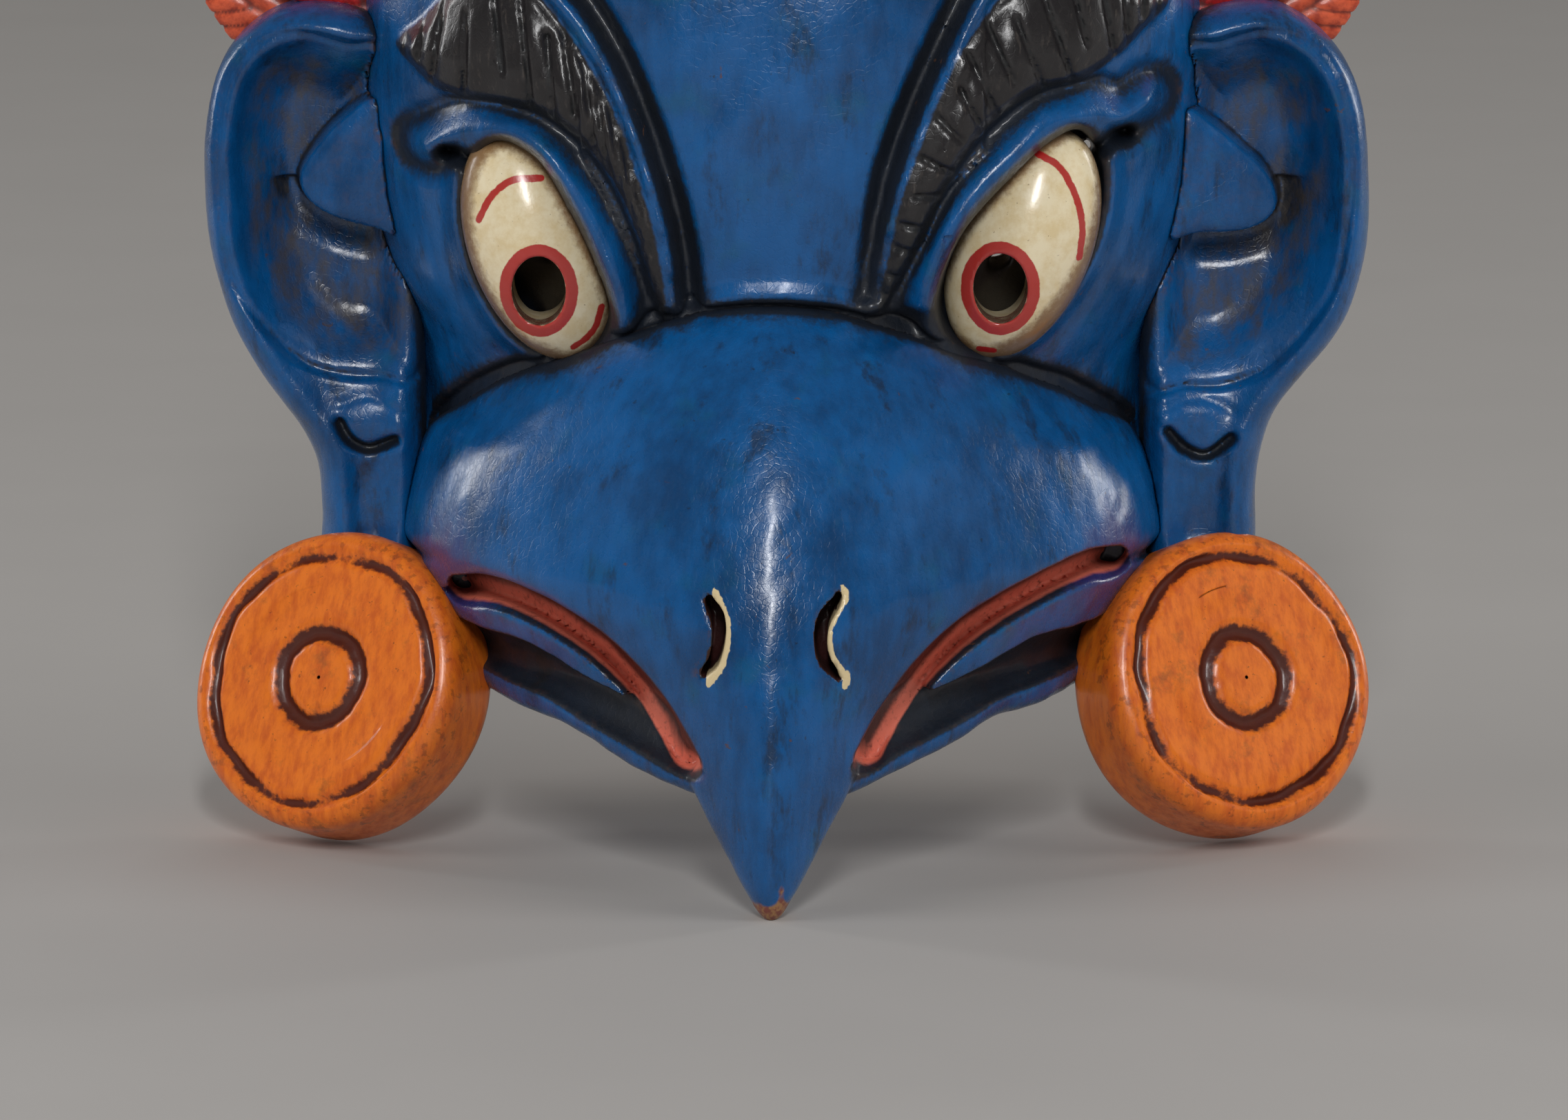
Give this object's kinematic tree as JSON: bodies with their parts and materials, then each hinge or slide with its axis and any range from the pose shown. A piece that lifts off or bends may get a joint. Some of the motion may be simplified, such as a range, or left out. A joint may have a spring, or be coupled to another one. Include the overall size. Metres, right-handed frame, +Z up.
{
  "type": "carved wooden bird mask",
  "caption": "Hollow carved and painted wooden bird mask with a hooked beak, cupped ears, round ear spools, pierced inset eyes and a fan of crest plumes.",
  "frame": {"origin": "centre of the footprint on the surface that the spools and the beak tip stand on", "axes": "+X to the right as seen from the front, +Y to the back, +Z up; the beak points along -Y"},
  "size_m": [0.2516, 0.12, 0.317],
  "materials": {
    "head_paint": "worn gloss enamel on carved wood",
    "beak_paint": "worn gloss enamel on carved wood",
    "ear_paint": "worn gloss enamel on carved wood",
    "spool_paint": "worn gloss enamel on carved wood",
    "eye_paint": "glazed gloss enamel on carved wood",
    "plume_red": "worn gloss enamel on carved wood",
    "plume_orange": "worn gloss enamel on carved wood",
    "bare_wood": "bare cut wood"
  },
  "bodies": {
    "root": {"beak": "beak_paint", "beak_dowels": "bare_wood", "crest_pegs": "bare_wood", "crest_plume_left_1": "plume_orange", "crest_plume_left_2": "plume_red", "crest_plume_left_3": "plume_orange", "crest_plume_left_4": "plume_red", "crest_plume_left_5": "plume_orange", "crest_plume_left_6": "plume_red", "crest_plume_right_1": "plume_orange", "crest_plume_right_2": "plume_red", "crest_plume_right_3": "plume_orange", "crest_plume_right_4": "plume_red", "crest_plume_right_5": "plume_orange", "crest_plume_right_6": "plume_red", "crest_plume_top": "plume_orange", "face_shell": "head_paint", "left_ear": "ear_paint", "left_ear_dowels": "bare_wood", "left_ear_spool": "spool_paint", "left_eye": "eye_paint", "left_spool_dowel": "bare_wood", "right_ear": "ear_paint", "right_ear_dowels": "bare_wood", "right_ear_spool": "spool_paint", "right_eye": "eye_paint", "right_spool_dowel": "bare_wood"}
  },
  "joints": []
}
